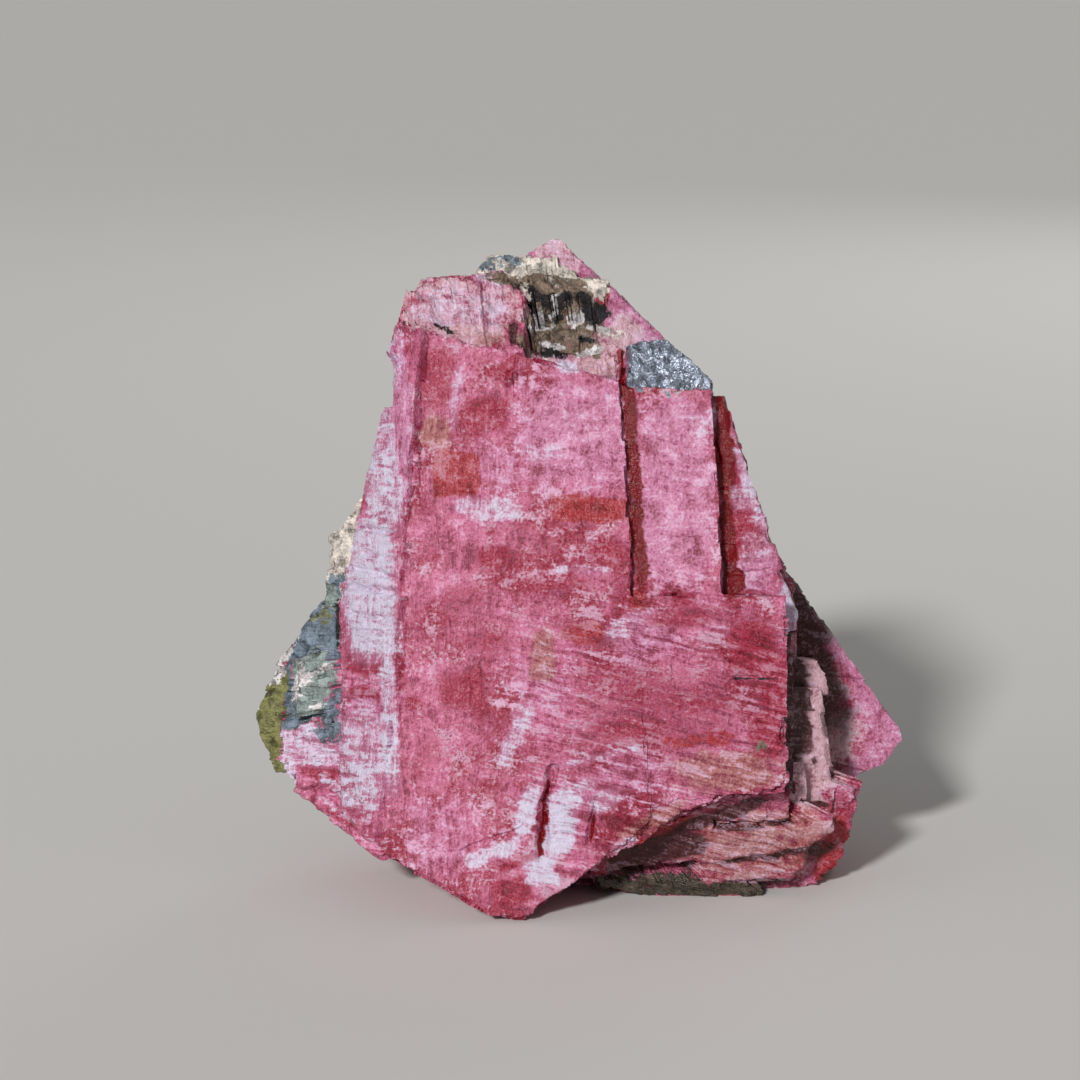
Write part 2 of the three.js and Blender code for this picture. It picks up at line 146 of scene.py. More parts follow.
blocks = [
    # bulk and rough back
    block(leftTip + 10, shelfEdge + 2, 3, crownTop - 8, 4, -13, tilt=(0, -0.1), grain=0.8,
          crumble=0.8, chips={"bl": (12, 10), "br": (5, 8), "tr": (19, 29), "tl": (9.5, 26)}),
    hump(0.3, 0.3, 0.36, 0.48, 0.8, (-0.12, 0.08)),
    hump(0.68, 0.28, 0.38, 0.44, 0.85, (0.18, 0)),
    hump(0.46, 0.5, 0.42, 0.62, 0.95, (-0.05, 0.15)),
    hump(0.45, 0.72, 0.3, 0.34, 0.75, (0.1, 0.25)),
    hump(0.5, 0.4, 0.16, 0.5, 1, (0, 0.05)),
    # large face, lower face, lip, second and third steps, toe
    block(faceLeft, ledgeOne, faceFoot, faceTop, 19, faceBack, tilt=(-0.012, -0.02),
          lean=(faceLeftLean, -0.075), slope=(0, -0.26), grain=0.2, crumble=0.5,
          chips={"bl": (11.8, 6.6), "br": (13.5, 9.6)}),
    block(ledgeOne - overlap, shelfEdge, lipHeight, kneeHeight, 18.6, faceBack,
          slope=(0.12, 0), tilt=(-0.05, 0), grain=0.22, crumble=0.7),
    block(-3.5, 15, 7.9, 22, 18.7, faceBack, slope=(0.53, 0), tilt=(-0.05, 0), grain=0.22,
          crumble=0.9),
    block(ledgeOne - overlap, ledgeTwo, kneeHeight - overlap, 55.2, 17.5, faceBack,
          lean=(0, -0.05), slope=(0, -0.04), tilt=(0.03, 0), grain=0.08, crumble=0.3),
    block(ledgeTwo - overlap, 19.2, kneeHeight - overlap, 54.5, 15.2, faceBack,
          lean=(0, -0.33), tilt=(-0.06, 0), chips={"br": (2.5, 6)}, grain=0.4),
    block(-10.4, -4.5, 0, 4, 19.2, 8, tilt=(0, 0.1), grain=0.3,
          chips={"bl": (3, 1.5), "br": (0.9, 1.8)}),
    # bevel and left corner
    bevelBlock(-19.3, kneeHeight, 61.5, 0),
    bevelBlock(-23.1, 30, 53.3, 0, leftLean=0.23),
    bevelBlock(-25, 8, 35, -2, chips={"bl": (3, 3)}),
    block(-26.8, -22, 27, 43.7, 9.3, -6, lean=(0.13, 0), tilt=(0.75, 0.05), grain=0.5,
          crumble=1.0, chips={"tl": (3.2, 3.6)}, mineral="cream"),
    block(-31, -24.5, 18, 32.8, 8, -5, tilt=(0.6, 0), grain=1.0, crumble=1.1,
          chips={"tl": (3.6, 5.2)}, mineral="slate"),
    block(leftTip, -29, 14.4, 27.8, 4.6, -3, tilt=(0.45, 0.1), grain=0.9, crumble=1.0,
          chips={"bl": (2, 5.2), "tl": (3.5, 6.2)}, mineral="olive"),
    block(-30, -25, 20.7, 28.1, 9.2, 0, tilt=(0.3, -0.1), grain=1.2, crumble=1.2,
          mineral="green",
          chips={"br": (3, 3.3), "tr": (2, 2.2), "tl": (1.8, 1.2)}),
    block(-31.8, -24, 12.8, 20.9, 8.4, -4, tilt=(0.6, 0.1), grain=1.0, crumble=1.1,
          chips={"bl": (2.5, 2)}),
    block(-30.3, -20, 5.6, 15.8, 8.6, -5, tilt=(0.62, 0.15), grain=0.8,
          chips={"bl": (9.3, 7), "tr": (2.5, 4)}),
    # crown
    block(-18.9, -5, 57, 67.3, 16.4, 0, lean=(0.28, 0), slope=(-0.26, 0.12),
          tilt=(0.02, -0.5), grain=1.7, crumble=1.1,
          chips={"tl": (1.2, 1), "tr": (3, 3.5), "br": (1.5, 3)}),
    block(-10, -4.2, 60, 66.3, 14.2, 0, tilt=(-0.15, -0.45), grain=1.5, crumble=1.1,
          chips={"tr": (2.5, 2.5)}, mineral="chalkAndPaintedLight"),
    block(-11.1, 2.5, 56, 69.8, 12, -4, tilt=(-0.05, -0.55), grain=1.3, crumble=0.9,
          chips={"tr": (5, 4), "tl": (1.9, 2.2)}, mineral="cream"),
    block(-4.8, 3.2, 64.6, 67.2, 12.6, 0, tilt=(-0.1, -0.6), slope=(0, -0.1), grain=1.2,
          crumble=0.4, mineral="cream"),
    block(-5.6, 3.3, 60, crownTop, 8.5, -4, tilt=(-0.1, -0.35), grain=0.4,
          chips={"tr": (5.2, 4.9), "tl": (3.2, 1.6)}, mineral="orchidAndPaintedLight"),
    block(1.5, 10, 54, 66.2, 12.6, -2, tilt=(-0.3, -0.35), grain=0.3,
          chips={"br": (2, 3), "tr": (6.6, 6.4)}, mineral="orchidAndPaintedLight"),
    block(-7.1, 4.5, 54.5, 61.7, 15, 0, tilt=(0, -0.5), grain=1.8, crumble=1.2,
          chips={"tl": (1.5, 1.5), "tr": (2, 1.5)}, mineral="chalkAndPaintedLight"),
    block(5, 14, 54.3, 60.2, 16.8, faceBack, slope=(-0.19, 0), tilt=(-0.1, -0.3), grain=1.1,
          chips={"tr": (4.7, 4.1), "tl": (1.8, 0.7)}, mineral="galena"),
    # plates that step back at the right, and the slab behind them
    block(shelfEdge - 1, 23.1, 29.6, 36.6, 14.5, faceBack, tilt=(-0.35, 0), grain=0.4,
          chips={"tr": (2.1, 4.5)}),
    # painted brown shade on the wall beside the plates
    block(shelfEdge - 1, 22.6, 13, 30, 13, -3, tilt=(-0.5, 0), grain=0.3, mineral="umberAndShade"),
    block(shelfEdge - 1, 23.1, 25.6, 29.8, 11.4, -3, tilt=(-0.3, 0), grain=0.2),
    # chalk on these plates is painted light on their lit fronts
    block(22, 26.6, 22.9, 26.8, 8.8, -4, tilt=(-0.25, 0), grain=0.3, crumble=0.3,
          chips={"tr": (1.3, 2.2)}, mineral="chalkAndPaintedLight"),
    block(22, 26.6, 11.5, 24, 10, -4, lean=(0, -0.14), tilt=(-0.3, 0), grain=0.4,
          mineral="chalkAndPaintedLight"),
    block(shelfEdge, 24.1, 12.1, 16.5, 12, -4, tilt=(-0.2, 0), grain=0.2, crumble=0.2,
          chips={"tr": (0.6, 1.7)}, mineral="chalkAndPaintedLight"),
    block(23, 27.3, 9.8, 13.5, 9.6, -4, tilt=(-0.2, 0.1), grain=0.4,
          chips={"br": (0.5, 1.2)}),
    block(22, 26.9, 7.6, 10.5, 10.6, -4, tilt=(-0.1, 0.2), grain=0.4,
          chips={"br": (1.2, 1)}),
    # orchid here is painted light on the slab's lit part
    block(19, rightTip, 12.3, 36.8, -3.5, -12, slope=(0.44, 0), tilt=(0.05, 0), grain=0.1,
          crumble=0.4, chips={"br": (2.3, 1.6), "tr": (12.8, 18.4)}, mineral="orchidAndPaintedLight"),
    # underside: broken body, three stairs, brown lip, matrix band, nub, rear foot
    block(-1, 28.8, 0.4, 13.8, 8.6, -14, lean=(0, 0.2), tilt=(-0.12, 0.35), grain=0.7,
          crumble=0.7, chips={"bl": (8, 4), "br": (6, 4), "tl": (9, 5)}),
    block(12, 22.1, 9.7, 13.2, 14.2, 0, tilt=(-0.02, 0.35), grain=0.5),
    block(12.5, 26.8, 6.1, 9.8, 12.4, 0, slope=(0.12, 0.12), tilt=(-0.05, 0.5), grain=0.4,
          chips={"br": (3.5, 1.8)}),
    block(13, 24.1, 3.1, 7, 10.6, 0, tilt=(-0.05, 0.5), grain=0.4,
          chips={"br": (1.5, 1.8)}),
    block(1, 14.5, 5.1, 9.5, 13, 0, slope=(0.15, 0.45), tilt=(-0.1, 0.6), grain=0.5),
    block(1.8, 19.6, 0.5, 3.6, 9.4, -4, slope=(0, -0.05), tilt=(0, 0.5), grain=0.6,
          chips={"bl": (8.5, 2.2), "br": (0.8, 0.6)}, mineral="rock"),
    block(-1.5, 4, 1.6, 5.5, 5, -4, grain=0.4, chips={"bl": (3, 1.2), "br": (1.2, 0.9)}),
    block(-13, 1, 0.8, 12, 3, -12, grain=0.8, chips={"bl": (4, 3)}),
]

# The dark cavity in the crown.
pocket = block(-4.9, 2, 61.3, 64.4, 25, 10.5, backTilt=(0, -0.3), grain=0.5, crumble=0.2,
               chips={"bl": (1, 1), "br": (1, 1), "tr": (1.5, 1), "tl": (1, 1)})

# Oblique breaks of the back: a point of the plane and the way it faces, as x, y, depth.
breaks = [
    ((-34, 20, -1.5), (-0.66, 0.1, -0.75)),
    ((-20, 58, 2), (-0.62, 0.42, -0.66)),
    ((rightTip, 17, -8), (0.5, 0.12, -0.86)),
    ((15, 56, 2), (0.55, 0.5, -0.67)),
    ((-2, 71, 0), (0.05, 0.6, -0.8)),
    ((8, 12, -18), (0.12, -0.5, -0.86)),
    ((-20, 9, -8), (-0.45, -0.55, -0.7)),
    ((31, 9, -4), (0.6, -0.5, -0.62)),
]

# Cracks and grooves in the fronts: both ends, half width and depth, in millimetres.
cracks = [
    ((-2.7, 15.6), (-3.5, 12.0), 0.45, 0.7),  # groove beside the flakes at the foot
    ((-3.5, 12.0), (-3.8, 6.6), 0.5, 0.9),
    ((1.8, 12.8), (1.1, 8.0), 0.3, 0.4),
    ((-12.2, 7.2), (-6.0, 9.6), 0.25, 0.3),
    ((-18.4, 61.8), (-15.8, 62.1), 0.4, 0.9),  # crack under the sugary shoulder
    ((-15.8, 62.1), (-12.6, 60.8), 0.35, 0.8),
    ((-23.0, 40.8), (-18.8, 40.0), 0.35, 0.45),  # rungs of the bevel
    ((-22.5, 38.1), (-19.0, 37.3), 0.25, 0.3),
    ((-24.0, 36.6), (-19.6, 35.6), 0.3, 0.4),
    ((-24.8, 34.6), (-19.4, 34.0), 0.4, 0.55),
    ((-24.0, 31.8), (-20.0, 31.2), 0.25, 0.3),
    ((-24.0, 30.0), (-20.4, 29.8), 0.25, 0.3),
    ((-24.8, 24.6), (-20.6, 24.2), 0.3, 0.4),
    ((-24.8, 22.6), (-20.6, 21.9), 0.25, 0.3),
    ((-28.0, 14.8), (-22.8, 11.6), 0.3, 0.4),  # diagonal grooves of the wedge
    ((-29.2, 12.8), (-23.2, 9.2), 0.3, 0.4),
    ((16.2, 25.2), (20.8, 25.1), 0.22, 0.3),
    ((-16.9, 57.0), (-16.6, 44.0), 0.22, 0.25),  # long lines of the first cleavage
    ((-17.8, 36.0), (-18.7, 20.0), 0.22, 0.25),
]


# One patch of mineral: its middle, half sizes, turn in degrees, how strong, how square it is
# (2 is an ellipse), how soft its edge, and the depths between which it shows.
def patch(mineral, x, y, wide, tall, turn=0, strength=1, square=4, soft=0.2, depths=(13, 30)):
    return {"mineral": mineral, "x": x, "y": y, "wide": wide, "tall": tall, "turn": turn,
            "square": square, "strength": strength, "soft": soft, "depths": depths}


# Patches of one mineral with equally square shapes and soft edges: the middle, half sizes,
# turn and strength of each.
def alike(mineral, spots, **look):
    return [patch(mineral, *spot, **look) for spot in spots]


# The same patches, shown only between these depths.
def within(depths, spots):
    return [{**spot, "depths": depths} for spot in spots]


facePatches = [
    # zones of lighter, bluer pink
    patch("orchidAndPaintedLight", 0, 50.5, 7, 6.5, 0, 0.8, soft=0.4),
    patch("orchidAndPaintedLight", 10.2, 44.5, 4, 11, 0, 0.85, soft=0.3),
    patch("orchidAndPaintedLight", -8.5, 47, 4, 3, 0, 0.6, soft=0.5),
    patch("orchidAndPaintedLight", -14.5, 9, 4.5, 4.5, 0, 0.6, soft=0.5),
    patch("orchidAndPaintedLight", -4, 24.5, 5, 3.5, -20, 0.55, square=2.5, soft=0.6),
    patch("orchidAndPaintedLight", 7, 29.5, 4.5, 3, 20, 0.7, square=2.5, soft=0.5),
    patch("orchidAndPaintedLight", 3, 14, 8, 3, 20, 0.6, square=2.5, soft=0.5),
    patch("orchidAndPaintedLight", 17.5, 36.5, 3.2, 2.4, 0, 0.8, depths=(10, 17)),
    # pale edges and plates of the third step, the right side and the stairs, in part painted light
    patch("chalkAndPaintedLight", 19.5, 8, 6, 1.2, 10, 0.7, depths=(6, 17)),
    patch("chalkAndPaintedLight", 18.3, 10.4, 1.2, 0.9, 0, 0.9, depths=(8, 17)),
    patch("chalkAndPaintedLight", 17.5, 3.6, 2, 0.7, 8, depths=(4, 14)),
    patch("chalkAndPaintedLight", 25.6, 9.3, 1.4, 0.8, 10, depths=(4, 14)),
    patch("frostAndSheen", 17.4, 46, 0.7, 3.4, 14, 0.8, depths=(14.4, 18)),
    patch("frostAndSheen", 19.6, 41.4, 0.8, 2.6, 30, 0.7, depths=(14.3, 18)),
    patch("frostAndSheen", 18.6, 38.4, 1.8, 2.2, 0, 0.5, depths=(10, 17)),
    patch("frostAndSheen", 16.7, 43.9, 1, 1.4, 0, 0.6, depths=(10, 17)),
    patch("frostAndSheen", 27.2, 14.6, 0.8, 0.5, 0, 0.7, depths=(7.5, 12)),
    patch("frostAndSheen", 22.3, 33, 1.2, 4, -8, depths=(13, 16)),
    # raspberry windows
    patch("deep", -8.5, 37.6, 3, 1.6, -4, 0.65, square=2.5, soft=0.4),
    patch("deep", 3.2, 38.2, 2.8, 1.4, 0, 0.6, square=2.5, soft=0.4),
    *alike("deep", [
        (-14.8, 56.2, 2.2, 3.8, 0, 0.6), (-9.7, 52.3, 2.3, 2.2, 0, 0.75), (-17.1, 22.6, 0.8, 0.7),
        (20, 24, 1.5, 5, 0, 0.75),
    ], soft=0.4),
    *alike("deep", [
        (-7.5, 57.3, 2.2, 0.8, 35, 0.7), (10.8, 33.4, 1.4, 0.9, 0, 0.8), (19.7, 19.2, 1.7, 2.5),
    ], soft=0.3),
    *alike("deep", [
        (-11.8, 33.2, 3.4, 1.6, 0, 0.5), (-2, 34.8, 6, 1.3, 0, 0.45),
        (-12.3, 24, 3, 2.7, 0, 0.65), (10.5, 31.4, 5, 1.2, 6, 0.6), (11.5, 22.6, 5, 1.2, -3, 0.6),
        (5, 20, 4.6, 1.5, 0, 0.65),
    ], square=2.5, soft=0.5),
    *alike("deep", [
        (-15.5, 17.5, 2.5, 3, 0, 0.45), (-9.5, 29, 4, 2, 0, 0.5), (3, 25.6, 5, 1.3, 4, 0.5),
    ], square=2.5, soft=0.6),
    patch("deep", 9, 22, 11, 6, -4, 0.5, square=2.5, soft=0.7),
    patch("deep", 18, 28.2, 2.5, 2.6, soft=0.25),
    patch("deep", -6.8, 3.2, 2.2, 1.5, 10, 0.7),
    patch("deep", -6.2, 6.2, 2.2, 0.5, 20, 0.8),
    patch("deep", 17.3, 39.8, 1.6, 2.6, 0, 0.7, depths=(10, 17)),
    patch("deep", 15.8, 47, 0.8, 3, 8, 0.8, depths=(10, 17)),
    # painted red-glowing shade by the ledges and in the groove, and clear dark red in two windows
    patch("rubyAndShade", 5.75, 45.2, 0.7, 11, 4.2, square=8, soft=0.15),
    patch("rubyAndShade", 15.2, 48.8, 0.95, 5.4, 3, square=2.5, soft=0.15),
    patch("rubyAndShade", 15.6, 38.4, 0.75, 5, 2.5, square=6, soft=0.15),
    patch("rubyAndShade", 16.2, 35, 1.1, 1.3, square=3),
    patch("rubyAndShade", -3.55, 10.4, 0.3, 4.2, -6, square=6),
    patch("rubyAndShade", 1.5, 10.4, 0.2, 2.3, -8, square=6, soft=0.3),
    patch("rubyAndShade", 1.4, 42.8, 2.9, 0.6, -3, 0.5, square=3, soft=0.5),
    patch("rubyAndShade", 2.6, 42.2, 1, 0.4, 0, 0.7, square=2.5, soft=0.4),
    patch("rubyAndShade", 17.9, 29, 1.2, 1.1, 0, 0.45, square=2.5, soft=0.5),
    # painted brown shade in the gaps at the right and under the lip, and painted tan shade on the
    # stairs
    patch("umberAndShade", 23.2, 22, 0.7, 5.5, 2, square=3, soft=0.3, depths=(-4, 14)),
    patch("umberAndShade", 25.6, 27, 2.6, 9, 12, 0.9, soft=0.3, depths=(-8, 0)),
    # painted tan shade over the stairs under the lip
    patch("tanAndShade", 18, 7.6, 10, 4.6, 6, 0.7, square=3, soft=0.4, depths=(-2, 16)),
    patch("umberAndShade", 8, 6.6, 5.5, 1.6, 16, square=3, soft=0.3, depths=(0, 15)),
    patch("umberAndShade", 14.6, 10.5, 5.6, 0.7, 20, square=3, soft=0.4, depths=(0, 16)),
    patch("umberAndShade", 19.5, 9.6, 4.5, 0.35, 8, square=3, soft=0.4, depths=(0, 14.5)),
    patch("umberAndShade", 20, 6.2, 5, 0.35, 8, square=3, soft=0.4, depths=(0, 13)),
    patch("umberAndShade", 18, 3.2, 5, 0.4, 3, square=3, soft=0.4, depths=(0, 13)),
    patch("umberAndShade", 25.2, 6.4, 2.4, 1.2, 15, 0.6, square=3, soft=0.4, depths=(0, 15)),
    patch("umberAndShade", 24.4, 20, 0.35, 5, 4, soft=0.3, depths=(-4, 12)),
    patch("umberAndShade", 25, 11.4, 2, 0.35, 12, soft=0.3, depths=(-4, 12)),
    # orange and brown stains
    patch("rust", -12.6, 46.2, 2.4, 2.4, 0, 0.85, square=8, soft=0.12),
    patch("rust", 1.3, 42.7, 3.9, 1.35, -3, square=10, soft=0.08),
    patch("rust", 0.6, 29.8, 3.2, 1.4, -4, 0.6, square=2.5, soft=0.4),
    patch("rust", 13, 18.8, 4, 1, 3, 0.6, square=2.5, soft=0.4),
    patch("rust", 6.0, 33.2, 0.9, 0.9, 20, 0.8),
    patch("rust", 27.4, 6.4, 1.8, 3.6, -15, square=2.5, depths=(-14, 12)),
    patch("rust", 7.5, 8.2, 5, 0.8, 27, 0.9, square=2.5, depths=(5, 18.9)),
    # tan and peach
    patch("tanAndShade", -14.6, 50.4, 1.7, 1.7, -20, 0.85),
    patch("tanAndShade", 9.3, 54.7, 3.8, 0.5, -4, 0.5),
    patch("tanAndShade", -3.7, 27.4, 1.3, 2.8, 0, 0.75, square=8, soft=0.12),
    patch("tanAndShade", 15.4, 15.6, 6, 2.2, 4, 0.8, square=2.8, soft=0.35),
    patch("tanAndShade", 7.4, 10.2, 4.6, 0.9, 27, 0.8, square=2.5, soft=0.3),
    # a grey spot and a dark crack on the lower face
    patch("grey", 18.8, 17.8, 1.1, 0.8, 15, 0.55, square=2, soft=0.4),
    patch("dark", 18, 25.1, 2.4, 0.12, 0, 0.8),
    # pale crushed cleavage of the face, partly a painted sheen
    *alike("frostAndSheen", [
        (-9.2, 42.7, 3.5, 1.3, -4, 0.75), (-3.9, 48.4, 1.9, 1.1, 0, 0.55),
        (-12.7, 54, 0.7, 4, -4, 0.55), (-6.6, 19.4, 1, 3.6, -24, 0.75),
    ], square=3),
    patch("frostAndSheen", -5.3, 11.6, 1, 2.9, -18, soft=0.12),
    patch("frostAndSheen", -9.0, 7.2, 3.2, 0.8, 24, 0.9, soft=0.15),
    patch("frostAndSheen", -3.8, 5, 1.4, 1.2, 20, 0.9, soft=0.15),
    patch("frostAndSheen", -1.6, 10.5, 1.6, 3.5, -8, soft=0.1),
    *alike("frostAndSheen", [
        (2.6, 12.6, 1.9, 1.1, 15, 0.8), (0.6, 14.2, 1.0, 0.8, 0, 0.8),
        (4.6, 7.9, 1.4, 0.7, 25, 0.7), (1.2, 16.8, 5, 0.35, 12, 0.6),
        (12.6, 51.8, 1.6, 1.6, 0, 0.55), (0.4, 36.4, 3, 0.5, -6, 0.5),
    ]),
    patch("frostAndSheen", 4.8, 30.6, 2.4, 1.2, 30, 0.55, square=2.5),
]

# The bevel: bands of raspberry between white crushed cleavage, partly a painted sheen.
bevelPatches = [
    patch("orchidAndPaintedLight", -19, 52, 1.8, 9, 4, 0.8),
    patch("orchidAndPaintedLight", -22.5, 19.5, 2.2, 4, 0, 0.8),
    patch("deep", -22.4, 26.8, 2, 1.8, -4, 0.75, soft=0.12),
    patch("deep", -22.4, 23.5, 1.8, 0.5, -8),
    patch("deep", -20.8, 40.5, 2.2, 0.3, -8, 0.8, soft=0.25),
    patch("deep", -21.2, 43.4, 1.8, 0.5, -6, 0.7, soft=0.3),
    patch("deep", -22.6, 20.6, 2, 0.5, -6, 0.8, soft=0.3),
    patch("deep", -22.6, 17.6, 2, 0.7, -6, 0.6, soft=0.4),
    patch("rubyAndShade", -22.6, 26.6, 1.1, 0.9, 0, 0.4, soft=0.3),
    *alike("frostAndSheen", [
        (-21.8, 34.2, 3, 7.4, 4), (-22.4, 16.4, 3, 5.6, 0, 0.6), (-19.6, 21, 0.9, 8, 3, 0.75),
        (-20.6, 47.6, 2.2, 7.5, 8, 0.75), (-19.2, 58, 1, 4, 2, 0.5),
    ]),
]

# The crown: sugary pink, cream crust, grey, dark cavity and quartz flakes.
crownPatches = [
    # the chalk at the peak, at -1.8, 69.6, is painted light on a front turned from the lamp
    *alike("chalkAndPaintedLight", [
        (-12, 64, 6.5, 3, 0, 0.7), (-13, 61.8, 5.5, 1.4, -14), (4.4, 60.6, 1.8, 2.6, -30),
        (-1.8, 69.6, 2.6, 2.2, 0, 0.8),
    ]),
    patch("orchidAndPaintedLight", -1.8, 69.6, 2.2, 2),
    patch("orchidAndPaintedLight", 5, 63, 2.6, 3, -40, 0.9),
    patch("rust", 4.5, 57.6, 0.35, 1.8, 5, soft=0.15),
    *alike("rust", [
        (-16.4, 64.3, 1.4, 0.5, 0, 0.8), (2.6, 64.6, 0.7, 1, -20, 0.8),
        (-0.4, 64.8, 1, 0.6, 0, 0.7), (14.8, 54.3, 0.5, 1.5, 8),
    ]),
    patch("umberAndShade", -6.8, 60.9, 0.5, 1.3, 0, 0.8),
    patch("umberAndShade", -5.2, 59.4, 1.8, 0.4, -24, 0.8),
    patch("tanAndShade", -9.2, 60.3, 1.6, 0.7, 0, 0.7),
    patch("slate", -8.4, 68.7, 2.4, 0.9, 0, 0.7, square=2.5),
    patch("grey", -6.6, 66.6, 3.4, 0.7, -8, 0.8, square=2.5),
    patch("grey", -1.2, 65.2, 4.6, 1.5, -18, 0.85, square=2.5),
    patch("grey", -1.2, 62.6, 4, 1.7, -6, 0.85, square=2.2),
    patch("grey", -1.8, 60.2, 4.6, 1.6, -8, 0.85, square=2.2),
    patch("dark", -5.4, 66, 1.8, 0.4, -25, 0.7, square=3),
    patch("dark", -2.7, 64, 2.4, 1.7, 8, square=3, soft=0.15),
    patch("dark", 1.4, 63.7, 1.6, 1.3, -30, square=2.5),
    *alike("quartz", [
        (-3.8, 61.8, 1.4, 0.35, 12), (-0.2, 62.3, 0.9, 0.6, 30), (2.4, 61.5, 1.7, 0.3, -12),
        (-2.6, 59.7, 1.5, 0.3, -10), (1.2, 59, 1.6, 0.35, 20), (-3, 64.6, 1.4, 0.25, 35),
    ]),
    *alike("dark", [
        (0.9, 60.3, 0.9, 0.4), (-2.4, 58.8, 1.8, 0.5, -12, 0.7), (-17.4, 62.0, 1.3, 0.2, 0, 0.6),
        (-14.3, 61.5, 1.9, 0.2, -22, 0.6),
    ]),
    patch("cream", 3, 61.2, 2, 0.6, -15, 0.7),
    patch("cream", 1.6, 66.2, 1.8, 0.8, -35, 0.7),
    patch("cream", 13.2, 56.2, 1.2, 1, -30, 0.7),
    *alike("frostAndSheen", [
        (-1.6, 69.5, 2, 1.4, 0, 0.45), (-9, 66.8, 2, 0.9, -10, 0.7), (-1.2, 57.3, 1.3, 0.8),
        (-2.4, 61.6, 1.4, 0.5, 0, 0.75),
    ]),
    patch("frostAndSheen", -12, 63.6, 5.6, 2.2, 0, 0.6, square=2.5),
]

# The left corner: slate, olive, green, quartz and crushed white, partly a painted sheen.
leftPatches = [
    patch("deep", -25, 13.6, 3.6, 1.3, -30, 0.8),
    patch("deep", -28, 15, 2, 0.9, -12, 0.8),
    patch("deep", -22.2, 11, 1.5, 1.3, 10, soft=0.25),
    patch("deep", -24.5, 9.8, 3, 0.6, -30, 0.8, soft=0.3),
    *alike("slate", [
        (-28.6, 30.2, 1, 2.4, -35), (-26.2, 19.4, 1.4, 1.6, 20, 0.7),
        (-29.8, 21, 1.2, 2.2, -30, 0.8), (-25.6, 34.6, 1, 1.6, -8, 0.7),
    ]),
    *alike("quartz", [
        (-31.4, 27, 0.7, 2.6, -32, 0.8), (-29.6, 24.4, 0.5, 2.4, -18, 0.7),
        (-32.6, 25.2, 1.1, 1.6, -35, 0.9), (-27.6, 25.4, 1.6, 0.4, 35, 0.8),
        (-26.8, 22.2, 1.4, 0.35, 35, 0.7),
    ]),
    patch("cream", -26.4, 41, 0.8, 2, -25, 0.8),
    patch("cream", -33.2, 22.6, 0.6, 3, -30, 0.7),
    patch("green", -26.4, 33.4, 1.2, 1.2, 0, 0.8),
    patch("tanAndShade", -25, 39.4, 0.7, 0.5, 0, 0.8),
    patch("dark", -25.3, 30.5, 0.3, 3, 0, 0.8, soft=0.3),
    patch("olive", -27.2, 31, 1.3, 1, 20, 0.6),
    patch("olive", -28.4, 21.5, 1.2, 0.6, 20, 0.8),
    patch("rust", -25.4, 38, 0.7, 0.4, -20, 0.8),
    *alike("frostAndSheen", [
        (-28.2, 17.6, 3.4, 2.4, 0, 0.85), (-31.6, 14.6, 1.5, 1.5),
        (-24.6, 12.6, 3, 0.5, -32, 0.8), (-25.8, 11, 2.6, 0.4, -32, 0.7),
    ]),
]

# Matrix, stains and veins of the back.
backPatches = [
    patch("rock", -4, 22, 9, 6, 25, 0.8, square=2.5, soft=0.4),
    patch("grey", 12, 40, 5, 7, 30, 0.75, square=2.5, soft=0.4),
    patch("cream", -8, 44, 5, 3, 40, 0.75, square=2.5, soft=0.4),
    patch("rust", 4, 56, 6, 4, 0, 0.7, square=2.5, soft=0.5),
    patch("orchidAndPaintedLight", 16, 20, 8, 9, 0, 0.7, square=2.5, soft=0.5),
    patch("orchidAndPaintedLight", -14, 30, 5, 10, 15, 0.7, square=2.5, soft=0.5),
    patch("quartz", 2, 33, 12, 0.7, 35, 0.8, square=3),
    patch("quartz", -10, 14, 8, 0.5, -20, 0.8, square=3),
    patch("umberAndShade", -16, 52, 4, 6, 0, 0.6, square=2.5, soft=0.5),
]

patches = facePatches
patches += within((9, 19.6), bevelPatches)
patches += within((4, 25), crownPatches)
patches += within((-6, 15), leftPatches)
patches += within((-30, -5), backPatches)

# Veils tint the pink stone with ragged edges, windows are clear with sharp edges and hide
# these shares of it, and crusts cover it.
# some are painted light: orchid and chalk on lit plates, tan, umber and ruby as shade, frost as sheen
veils = ["orchidAndPaintedLight", "chalkAndPaintedLight", "tanAndShade"]
windows = {"deep": 0.92, "rust": 0.92, "umberAndShade": 0.94, "rubyAndShade": 0.99}
crusts = ["cream", "grey", "rock", "slate", "olive", "green", "galena", "dark", "quartz"]
minerals = veils + list(windows) + ["frostAndSheen"] + crusts


# Repeatable noise, -1 to 1, for whole arrays of cells, mixed from their numbers by large
# primes and shifts.
def scatter(cell, seed):
    whole = cell.astype(np.int64)
    mixed = whole[:, 0] * 374761393 + whole[:, 1] * 668265263 + whole[:, 2] * 2246822519
    mixed = (mixed + seed * 3266489917) & 0xFFFFFFFF
    mixed = ((mixed ^ (mixed >> 13)) * 1274126177) & 0xFFFFFFFF
    mixed = ((mixed ^ (mixed >> 16)) * 2654435761) & 0xFFFFFFFF
    return (mixed ^ (mixed >> 15)) / 0x7FFFFFFF - 1


# Values at whole numbers, blended smoothly between them.
def smoothNoise(points, seed):
    cell = np.floor(points)
    part = points - cell
    ease = part * part * (3 - 2 * part)
    total = np.zeros(len(points))
    for corner in np.ndindex(2, 2, 2):
        weight = np.prod(np.where(corner, ease, 1 - ease), axis=1)
        total += weight * scatter(cell + corner, seed)
    return total


# Smooth noise summed at halving sizes and heights.
def fractalNoise(points, seed, octaves=4):
    total = np.zeros(len(points))
    for octave in range(octaves):
        total += smoothNoise(points * 2 ** octave + 17.3 * octave, seed + octave) / 2 ** octave
    return total / 1.6


